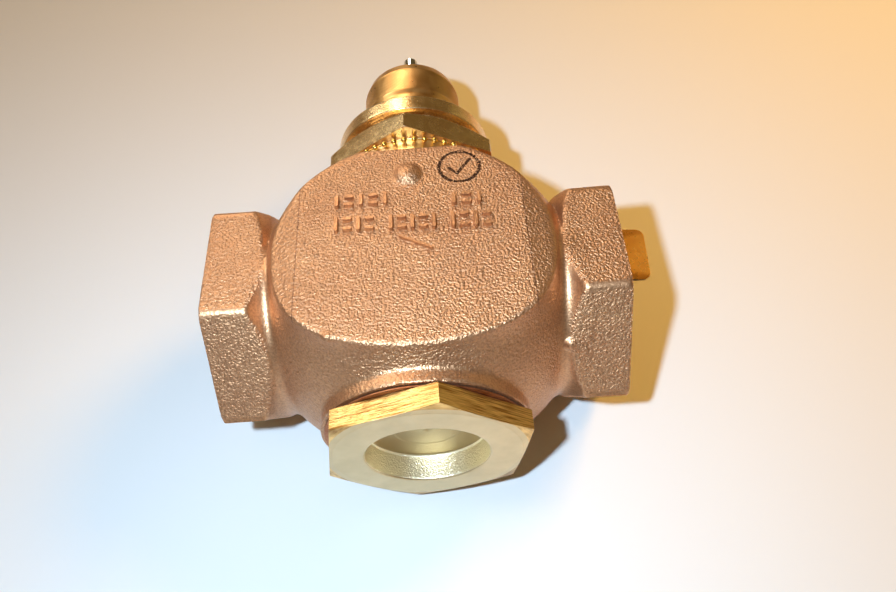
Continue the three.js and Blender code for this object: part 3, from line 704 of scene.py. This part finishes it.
def cast_bronze(name):
    """Sand-cast bronze: pitted where the mesh's grain attribute says, with dark specks, ink, and painted
    shade lines along the pads' creases.
    """
    material, tree, shader, place = start_material(name, 0.92)
    grain = node(tree, "Attribute", attribute_name="grain").outputs["Fac"]
    cloud = between(tree, noise_node(tree, place, 14, 3.0), 0.3, 0.7)
    speck = between(tree, noise_node(tree, place, 0.55, 2.0), 0.3, 0.62)
    base = mixed(tree, cloud, colour(201, 151, 112), colour(210, 161, 120))
    base = mixed(tree, speck, mixed(tree, 0.4, base, colour(120, 70, 50)), base)
    # painted shade: the creases where the pads lean back get a dark brown line in the base colour
    line = calc(tree, "MULTIPLY", painted_crease_shade_mask(tree, place), 0.5)
    base = mixed(tree, line, base, colour(96, 58, 44))
    ink = calc(tree, "MULTIPLY", stamp_mask(tree, place), 0.92)
    base = mixed(tree, ink, base, colour(40, 18, 14))
    tree.links.new(base, shader.inputs["Base Color"])
    tree.links.new(between(tree, grain, 0, 1, 0.40, 0.48), shader.inputs["Roughness"])
    coarse = noise_node(tree, place, 0.66, 1.0)
    fine = noise_node(tree, place, 0.28, 2.0, 0.6)
    normal = bump(tree, coarse, grain, 0.58)
    normal = bump(tree, fine, between(tree, grain, 0, 1, 0.25, 0.7), 0.14, normal)
    tree.links.new(normal, shader.inputs["Normal"])
    return material


def machined_brass(name, light, dark, roughness, mark_depth):
    """Turned brass, with fine tool marks round the stem's axis and a duller, ridged collar."""
    material, tree, shader, place = start_material(name)
    radius, _, y = stem_coordinates(tree, place)
    cloud = between(tree, noise_node(tree, place, 9, 3.0), 0.3, 0.7)
    tree.links.new(mixed(tree, cloud, dark, light), shader.inputs["Base Color"])
    smear = between(tree, noise_node(tree, place, 2.2, 3.0), 0.3, 0.7, roughness * 0.8, roughness * 1.25)
    on_collar = calc(tree, "LESS_THAN", y, (BONNET_HEX_Y + 0.15) * MM)
    rough = calc(tree, "ADD", smear, calc(tree, "MULTIPLY", on_collar, 0.08))
    tree.links.new(rough, shader.inputs["Roughness"])
    ridged = calc(tree, "MULTIPLY", on_collar, 0.4)
    normal = bump(tree, tool_marks(tree, y, 0.22), ridged, 0.014)
    normal = bump(tree, tool_marks(tree, radius, 0.22), ridged, 0.014, normal)
    normal = bump(tree, tool_marks(tree, y, 0.25), 0.35, mark_depth, normal)
    normal = bump(tree, noise_node(tree, place, 0.35, 2.0), 0.2, 0.03, normal)
    tree.links.new(normal, shader.inputs["Normal"])
    return material


def plug_brass(name):
    """Rough-sawn flats, a pale turned face, and a cast recess whose wall carries a painted highlight,
    lighter than the metal around it.
    """
    material, tree, shader, place = start_material(name)
    radius, turn, y = stem_coordinates(tree, place)
    in_recess = calc(tree, "LESS_THAN", radius, (PLUG_RECESS + 0.05) * MM)
    past_floor = calc(tree, "GREATER_THAN", radius, (PLUG_RECESS - 0.35) * MM)
    on_wall = calc(tree, "MULTIPLY", in_recess, past_floor)
    on_face = calc(tree, "LESS_THAN", y, (PLUG_FACE_Y + 0.3) * MM)
    off_recess = calc(tree, "SUBTRACT", 1.0, in_recess)
    on_flat = calc(tree, "MULTIPLY", calc(tree, "SUBTRACT", 1.0, on_face), off_recess)
    round_axis = calc(tree, "MULTIPLY", turn, 1.1 * MM)
    streaks_at = node(tree, "CombineXYZ", {0: y, 1: round_axis, 2: 0.0}).outputs[0]
    streaks = noise_node(tree, streaks_at, 0.38, 3.0, 0.6)
    cloud = between(tree, noise_node(tree, place, 6, 3.0), 0.3, 0.7)
    base = mixed(tree, cloud, colour(212, 188, 146), colour(224, 200, 158))
    flat = mixed(tree, between(tree, streaks, 0.35, 0.6), colour(160, 112, 54), colour(242, 200, 128))
    base = mixed(tree, on_flat, base, flat)
    floor = calc(tree, "SUBTRACT", in_recess, on_wall)
    base = mixed(tree, floor, base, colour(186, 162, 118))
    # painted highlight: the recess wall gets a near-white colour in place of the glare it would catch
    base = mixed(tree, on_wall, base, colour(250, 236, 204))
    tree.links.new(base, shader.inputs["Base Color"])
    rough = calc(tree, "ADD", 0.46, calc(tree, "MULTIPLY", on_flat, -0.12))
    rough = calc(tree, "ADD", rough, calc(tree, "MULTIPLY", on_wall, -0.08))
    tree.links.new(rough, shader.inputs["Roughness"])
    normal = bump(tree, tool_marks(tree, radius, 0.3), calc(tree, "MULTIPLY", on_face, 0.3), 0.012)
    normal = bump(tree, streaks, on_flat, 0.16, normal)
    normal = bump(tree, noise_node(tree, place, 0.4, 2.0), on_wall, 0.2, normal)
    normal = bump(tree, noise_node(tree, place, 0.3, 2.0), 0.3, 0.03, normal)
    tree.links.new(normal, shader.inputs["Normal"])
    return material


def polished_metal(name, light, dark, roughness, metallic=1.0):
    """Smooth metal with cloudy colour, uneven gloss and a fine grain."""
    material, tree, shader, place = start_material(name, metallic)
    cloud = between(tree, noise_node(tree, place, 4, 3.0), 0.3, 0.7)
    tree.links.new(mixed(tree, cloud, dark, light), shader.inputs["Base Color"])
    smear = between(tree, noise_node(tree, place, 1.5, 2.0), 0.3, 0.7, roughness * 0.75, roughness * 1.3)
    tree.links.new(smear, shader.inputs["Roughness"])
    fine = noise_node(tree, place, 0.4, 2.0)
    tree.links.new(bump(tree, fine, 0.25, 0.03), shader.inputs["Normal"])
    return material


def dull_moulding(name, light, dark, roughness):
    """Rubber or plastic, with a fine moulded grain."""
    material, tree, shader, place = start_material(name, 0.0)
    cloud = noise_node(tree, place, 3, 3.0)
    tree.links.new(mixed(tree, cloud, dark, light), shader.inputs["Base Color"])
    tree.links.new(between(tree, cloud, 0, 1, roughness * 0.9, roughness * 1.1), shader.inputs["Roughness"])
    grain = noise_node(tree, place, 0.3, 2.0)
    tree.links.new(bump(tree, grain, 0.3, 0.05), shader.inputs["Normal"])
    return material


FINISHES = {
    "cast_bronze": (cast_bronze,),
    "plug_brass": (plug_brass,),
    "bonnet_brass": (machined_brass, colour(242, 210, 158), colour(228, 188, 134), 0.24, 0.02),
    "cap_brass": (machined_brass, colour(226, 180, 116), colour(208, 156, 94), 0.34, 0.015),
    "copper": (polished_metal, colour(196, 132, 92), colour(164, 100, 66), 0.45),
    "bush_bronze": (polished_metal, colour(196, 150, 100), colour(170, 122, 78), 0.4),
    "stainless": (polished_metal, colour(206, 206, 204), colour(186, 186, 184), 0.25),
    "stem_steel": (polished_metal, colour(214, 214, 212), colour(190, 190, 190), 0.16),
    "packing_rubber": (dull_moulding, colour(44, 44, 46), colour(28, 28, 30), 0.6),
    "packing_polymer": (dull_moulding, colour(236, 232, 222), colour(222, 216, 204), 0.45),
    "chain_brass": (polished_metal, colour(246, 208, 116), colour(232, 188, 96), 0.18),
    "tag_brass": (polished_metal, colour(232, 172, 84), colour(216, 154, 70), 0.3, 0.6),
}
MATERIALS = {name: make(name, *values) for name, (make, *values) in FINISHES.items()}

# ---------------- turned pieces

def build_bonnet():
    """Collar, wrench hexagon, waist, flange and spigot in one, bored for the stem and its packing."""
    corner = BONNET_FLATS / math.sqrt(3) + 0.2
    lower_thread = TOP_HOLE - 0.3
    profile = [
        (DISC_BORE, BONNET_START_Y), (lower_thread, BONNET_START_Y), (lower_thread, COLLAR_START_Y),
        (COLLAR_RADIUS, COLLAR_START_Y), (COLLAR_RADIUS, BONNET_HEX_Y), (corner, BONNET_HEX_Y),
        (corner, BONNET_CORNER_Y), (WAIST_RADIUS + 0.3, WAIST_Y), (WAIST_RADIUS, WAIST_Y + 0.3),
        (WAIST_RADIUS, FLANGE_Y), (FLANGE_RADIUS, FLANGE_Y), (FLANGE_RADIUS, FLANGE_END_Y),
        (SPIGOT_RADIUS + 0.4, FLANGE_END_Y), (SPIGOT_RADIUS, FLANGE_END_Y + 0.4),
        (SPIGOT_RADIUS, BONNET_END_Y), (PACKING_BORE, BONNET_END_Y), (PACKING_BORE, PACKING_FLOOR_Y),
        (BUSH_BORE, PACKING_FLOOR_Y), (BUSH_BORE, BUSH_FLOOR_Y), (STEM_BORE, BUSH_FLOOR_Y),
        (STEM_BORE, DISC_BORE_END_Y), (DISC_BORE, DISC_BORE_END_Y),
    ]
    shape = hexagonal(BONNET_FLATS, BONNET_TURN, BONNET_HEX_Y - 0.01, WAIST_Y)
    shell = turned(split_long(filleted(profile, 0.45), 0.6), 240, shape)
    stand_in("bonnet", shell, "valve_body", "bonnet_brass", sharp=40)


def build_packing_cap():
    """A cap with a diamond knurl cut into its upper band."""
    profile = [
        (CAP_THREAD, CAP_START_Y), (CAP_SKIRT, CAP_START_Y), (CAP_SKIRT, CAP_KNURL_Y - 1.8),
        (CAP_RADIUS - 0.05, CAP_KNURL_Y - 0.4), (CAP_RADIUS, CAP_KNURL_Y), (CAP_RADIUS, KNURL_END_Y),
        (CAP_RADIUS - 1.0, CAP_END_Y - 1.0), (CAP_RADIUS - 2.4, CAP_END_Y), (CAP_HOLE, CAP_END_Y),
        (CAP_HOLE, GLAND_Y), (GLAND_RADIUS, GLAND_Y), (GLAND_RADIUS, CAP_FLOOR_Y), (CAP_THREAD, CAP_FLOOR_Y),
    ]

    def knurled(r, y, angles):
        flat = np.full(len(angles), r)
        if not (CAP_KNURL_Y <= y <= KNURL_END_Y and r > CAP_RADIUS - 0.3):
            return flat
        around = angles * KNURL_TEETH / (2 * math.pi)
        along = (y - CAP_KNURL_Y) / KNURL_PITCH
        left = np.abs((around + along) % 1 * 2 - 1)
        right = np.abs((around - along) % 1 * 2 - 1)
        fade = min(1, (y - CAP_KNURL_Y) / 0.4, (KNURL_END_Y - y) / 0.4)
        return flat - KNURL_DEPTH * fade * np.clip(1.6 * np.maximum(left, right) - 0.6, 0, 1)

    outline = split_long(filleted(profile, 0.35), KNURL_PITCH / 4)
    shell = turned(outline, KNURL_TEETH * 4, knurled)
    stand_in("packing_cap", shell, "valve_body", "cap_brass", sharp=60)


def build_bottom_plug():
    """A hexagonal plug with a round recess, whose floor has a faint ring and a centre mark."""
    corner = PLUG_FLATS / math.sqrt(3) + 0.2
    floor_y = PLUG_FACE_Y + PLUG_RECESS_DEPTH
    profile = [
        (0, floor_y + 0.4), (CENTRE_MARK, floor_y + 0.1), (CENTRE_MARK + 0.6, floor_y),
        (FLOOR_RING, floor_y), (FLOOR_RING + 0.4, floor_y - 0.1),
        (PLUG_RECESS - 0.5, floor_y - 0.15), (PLUG_RECESS, floor_y - 0.6), (PLUG_RECESS, PLUG_FACE_Y + 0.35),
        (PLUG_RECESS + 0.35, PLUG_FACE_Y), (PLUG_FACE_RADIUS, PLUG_FACE_Y),
        (PLUG_FACE_RADIUS + 0.3, PLUG_FACE_Y + 0.1), (corner, PLUG_FACE_Y + 0.75), (corner, PLUG_HEX_Y),
        (PLUG_THREAD, PLUG_HEX_Y), (PLUG_THREAD, PLUG_END_Y - 1), (PLUG_THREAD - 1, PLUG_END_Y),
        (0, PLUG_END_Y),
    ]
    shape = hexagonal(PLUG_FLATS, PLUG_TURN, PLUG_FACE_Y - 1, PLUG_HEX_Y + 0.01, inner=20)
    shell = turned(split_long(filleted(profile, 0.25), 0.5), 240, shape)
    stand_in("bottom_plug", shell, "valve_body", "plug_brass", sharp=35)


def build_gaskets():
    """The copper rings under the plug and the bonnet: inner and outer radius, then y, then rounding."""
    plug_y = (BOSS_FACE_Y - 0.6, BOSS_FACE_Y - 0.2)
    bonnet_y = (TOP_FACE_Y + 0.3, COLLAR_START_Y - 0.3)
    rings = {
        "bottom_plug_gasket": (BOTTOM_HOLE + 0.4, BOSS_RADIUS - 0.9, plug_y, 0.15),
        "bonnet_gasket": (TOP_HOLE + 0.2, COLLAR_RADIUS - 0.1, bonnet_y, 0.3),
    }
    for name, (inner, outer, (low, high), rounding) in rings.items():
        outline = filleted([(inner, low), (outer, low), (outer, high), (inner, high)], rounding)
        stand_in(name, turned(outline), "valve_body", "copper")


# ---------------- chain and tag

def at_tag(along, across, up):
    """A point of the tag's own plate, in the valve's frame."""
    reach = along * math.cos(TAG_PITCH) + up * math.sin(TAG_PITCH)
    height = TAG_LIFT - along * math.sin(TAG_PITCH) + up * math.cos(TAG_PITCH)
    c, s = math.cos(TAG_YAW), math.sin(TAG_YAW)
    return Vector((TAG_X + reach * c - across * s, TAG_Y + reach * s + across * c, height))


def chain_points():
    """The chain's route, the same as its CAD piece follows: over the collar, then both runs to the tag."""
    hug = []
    for k in range(21):
        angle = math.radians(262 - 12.7 * k)
        hug.append((LOOP_RADIUS * math.cos(angle), LOOP_Y, AXIS_Z + LOOP_RADIUS * math.sin(angle)))
    hole = at_tag(TAG_HOLE_INSET, 0, 0)
    under = BEAD_RADIUS + 0.1
    return [Vector(p) for p in [
        (17.6, 41.2, 3.5), (10.5, LOOP_Y, 7.2), *hug, (25.4, 42, 26), (29.4, 41, 15),
        (hole.x + 0.1, hole.y + 0.2, 7), (hole.x + 0.1, hole.y, hole.z), (hole.x - 1.2, hole.y, under),
        (hole.x - 4.4, hole.y + 0.3, under), (25.6, 40.2, 1.9),
    ]]


def smooth_route(points, steps=24):
    """A centripetal curve through the points, as a fine polyline."""
    ends = [points[0] * 2 - points[1], *points, points[-1] * 2 - points[-2]]
    route = []
    for p0, p1, p2, p3 in zip(ends, ends[1:], ends[2:], ends[3:]):
        t0 = 0.0
        t1 = t0 + (p1 - p0).length ** 0.5
        t2 = t1 + (p2 - p1).length ** 0.5
        t3 = t2 + (p3 - p2).length ** 0.5
        for k in range(steps):
            t = t1 + (t2 - t1) * k / steps
            a1 = p0 * ((t1 - t) / (t1 - t0)) + p1 * ((t - t0) / (t1 - t0))
            a2 = p1 * ((t2 - t) / (t2 - t1)) + p2 * ((t - t1) / (t2 - t1))
            a3 = p2 * ((t3 - t) / (t3 - t2)) + p3 * ((t - t2) / (t3 - t2))
            b1 = a1 * ((t2 - t) / (t2 - t0)) + a2 * ((t - t0) / (t2 - t0))
            b2 = a2 * ((t3 - t) / (t3 - t1)) + a3 * ((t - t1) / (t3 - t1))
            route.append(b1 * ((t2 - t) / (t2 - t1)) + b2 * ((t - t1) / (t2 - t1)))
    route.append(points[-1])
    return route


def even_points(route, pitch):
    """Points at even steps along a polyline, the step as near pitch as fits."""
    lengths = [0.0]
    for a, b in zip(route, route[1:]):
        lengths.append(lengths[-1] + (b - a).length)
    count = round(lengths[-1] / pitch)
    aims = np.linspace(0, lengths[-1], count + 1)
    return [Vector([np.interp(aim, lengths, [p[i] for p in route]) for i in range(3)]) for aim in aims]


def swept(start, end, profile, sides):
    """(r, distance) points swept about the line from start to end, closed at both ends."""
    along = (end - start).normalized()
    side = along.orthogonal().normalized()
    other = along.cross(side)
    vertices = []
    for r, distance in profile:
        for k in range(sides):
            angle = 2 * math.pi * k / sides
            outward = side * math.cos(angle) + other * math.sin(angle)
            vertices.append(start + along * distance + outward * r)
    last = (len(profile) - 1) * sides
    ends = [tuple(range(sides))[::-1], tuple(range(last, last + sides))]
    return [tuple(v) for v in vertices], ends + ring_faces(len(profile), sides)


def build_chain():
    """Round beads with thin rods between them, and the barrel that joins the two ends."""
    centres = even_points(smooth_route(chain_points()), BEAD_PITCH)
    latitudes = [math.radians(a) for a in range(20, 161, 14)]
    ball = [(BEAD_RADIUS * math.sin(a), -BEAD_RADIUS * math.cos(a)) for a in latitudes]
    shells = []
    for i, centre in enumerate(centres):
        ahead = centres[min(i + 1, len(centres) - 1)] - centres[max(i - 1, 0)]
        shells.append(swept(centre, centre + ahead.normalized(), ball, 16))
        if i + 1 < len(centres):
            gap = (centres[i + 1] - centre).length
            rod = [(CHAIN_ROD, 0.3), (CHAIN_ROD, gap - 0.3)]
            shells.append(swept(centre, centres[i + 1], rod, 8))
    stand_in("bead_chain", joined(*shells), "valve_body", "chain_brass", sharp=50)

    start, end = centres[0], centres[-1]
    length = (end - start).length
    half = [(0.5, 0.1), (1.1, 0.15), (1.42, 0.5), (1.45, 1.2), (1.3, 1.5), (1.3, length / 2 - 0.3)]
    barrel = half + [(1.18, length / 2)] + [(r, length - distance) for r, distance in half[::-1]]
    stand_in("chain_clasp", swept(start, end, barrel, 32), "valve_body", "chain_brass", sharp=40)


def tag_rim(inset, up, corner_steps=6):
    """The tag's outline with round corners, drawn in by inset, at a height of up on the plate."""
    half = TAG_WIDTH / 2 - TAG_CORNER
    left, right = TAG_CORNER, TAG_LENGTH - TAG_CORNER
    rim = []
    for x, y, first in ((right, -half, -90), (right, half, 0), (left, half, 90), (left, -half, 180)):
        for k in range(corner_steps + 1):
            angle = math.radians(first + 90 * k / corner_steps)
            reach = TAG_CORNER - inset
            rim.append((x + reach * math.cos(angle), y + reach * math.sin(angle), up))
    return rim


def build_tag():
    """A plain stamped plate with softened edges and an eyelet hole."""
    edge = 0.12
    levels = ((edge, 0), (0, edge), (0, TAG_THICKNESS - edge), (edge, TAG_THICKNESS))
    rims = [tag_rim(inset, up) for inset, up in levels]
    holes = []
    for inset, up in levels:
        radius = TAG_HOLE + inset
        hole = []
        for x, y, _ in rims[0]:
            angle = math.atan2(y, x - TAG_HOLE_INSET)
            hole.append((TAG_HOLE_INSET + radius * math.cos(angle), radius * math.sin(angle), up))
        holes.append(hole)
    rings = rims + holes[::-1]
    vertices = [tuple(at_tag(*point)) for ring in rings for point in ring]
    shell = (vertices, ring_faces(len(rings), len(rims[0]), closed=True))
    stand_in("identification_tag", shell, "tag", "tag_brass", sharp=50)


# ---------------- pieces that stay as the frame has them

def finish_frame_nodes():
    """Gives the CAD nodes whose shape is right a finished material and smooth shading."""
    nodes_of = {
        "stainless": [
            "seat_ring", "packing_base_washer", "packing_spring", "spring_follower", "holder_pin",
            "throttle_nut",
        ],
        "stem_steel": ["stem"],
        "bonnet_brass": ["packing_lower_adapter", "disc_holder", "throttle_plug"],
        "bush_bronze": ["stem_guide_bush"],
        "packing_rubber": [
            "packing_vee_ring_1", "packing_vee_ring_2", "packing_vee_ring_3", "stem_wiper", "seat_disc",
        ],
        "packing_polymer": ["packing_upper_adapter"],
    }
    for slot, names in nodes_of.items():
        for name in names:
            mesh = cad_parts[name].data
            mesh.materials.clear()
            mesh.materials.append(MATERIALS[slot])
            mesh.polygons.foreach_set("use_smooth", [True] * len(mesh.polygons))
            mesh.set_sharp_from_angle(angle=math.radians(30))


# ---------------- floor, lights and camera

def build_floor():
    """A sheet of plain pale paper, 3 m across."""
    half = 1.5
    edge = [(-half, -half, 0), (half, -half, 0), (half, half, 0), (-half, half, 0)]
    mesh = bpy.data.meshes.new("floor")
    mesh.from_pydata(edge, [], [(0, 1, 2, 3)])
    floor = bpy.data.objects.new("floor", mesh)
    bpy.context.scene.collection.objects.link(floor)
    material = bpy.data.materials.new("floor_paper")
    material.use_nodes = True
    shader = material.node_tree.nodes["Principled BSDF"]
    shader.inputs["Base Color"].default_value = (0.80, 0.80, 0.80, 1)
    shader.inputs["Roughness"].default_value = 0.75
    mesh.materials.append(material)


FLASH_TINT = (0.58, 0.79, 1.0)
LAMP_TINT = (1.0, 0.52, 0.10)
SIDE_TINT = (1.0, 0.90, 0.43)
DAY_TINT = (0.90, 0.90, 0.84)
BACK_TINT = (1.0, 0.95, 0.84)
ROOM_TINT = (1.0, 0.68, 0.28)


def area_light(name, direction, distance, size, power, tint, on=("diffuse", "glossy")):
    """A round soft light, its distance and size in metres, aimed at the valve's middle.

    direction points from the valve to the light, at any length, and `on` says which kinds
    of surface it lights.
    """
    data = bpy.data.lights.new(name, "AREA")
    data.shape = "DISK"
    data.size = size
    data.energy = power
    data.color = tint
    light = bpy.data.objects.new(name, data)
    aim = Vector((0, 0, 0.03))
    away = Vector(direction).normalized()
    light.location = aim + away * distance
    light.rotation_euler = (-away).to_track_quat("-Z", "Y").to_euler()
    light.visible_diffuse = "diffuse" in on
    light.visible_glossy = "glossy" in on
    bpy.context.scene.collection.objects.link(light)


def build_light():
    """A small flash and a warm lamp light the floor; the rest is seen in the metal only."""
    shine = ("glossy",)
    area_light("key_flash", (-42, -118, 216), 0.2497, 0.011, 0.94, FLASH_TINT)
    area_light("room_lamp", (300, 220, 330), 0.54, 0.24, 2.1, LAMP_TINT, on=("diffuse",))
    area_light("window", (-0.66, 0.42, 0.64), 0.9, 0.36, 3.0, DAY_TINT, on=shine)
    area_light("ceiling_lamp", (-0.28, 0.5, 0.82), 0.9, 0.5, 1.25, LAMP_TINT, on=shine)
    area_light("side_lamp", (0.85, 0.45, 0.28), 0.9, 0.5, 0.33, SIDE_TINT, on=shine)
    area_light("back_window", (-0.22, 0.8, 0.55), 0.9, 0.22, 1.9, BACK_TINT, on=shine)
    world = bpy.data.worlds.new("room")
    world.use_nodes = True
    background = world.node_tree.nodes["Background"]
    background.inputs["Color"].default_value = (*ROOM_TINT, 1)
    background.inputs["Strength"].default_value = 0.16
    bpy.context.scene.world = world


def build_camera():
    """Close above the plug end, looking down along the valve; the place is in metres."""
    data = bpy.data.cameras.new("camera")
    data.sensor_width = 36
    data.lens = 31.081
    camera = bpy.data.objects.new("camera", data)
    camera.location = (0.008722, -0.120651, 0.212067)
    camera.rotation_euler = [math.radians(a) for a in (34.393, 2.547, -3.23)]
    bpy.context.scene.collection.objects.link(camera)
    bpy.context.scene.camera = camera


# ---------------- the whole scene

build_camera()
build_floor()
build_light()
build_casting()
build_bonnet()
build_packing_cap()
build_bottom_plug()
build_gaskets()
build_chain()
build_tag()
finish_frame_nodes()

bpy.context.scene.view_settings.view_transform = "Standard"
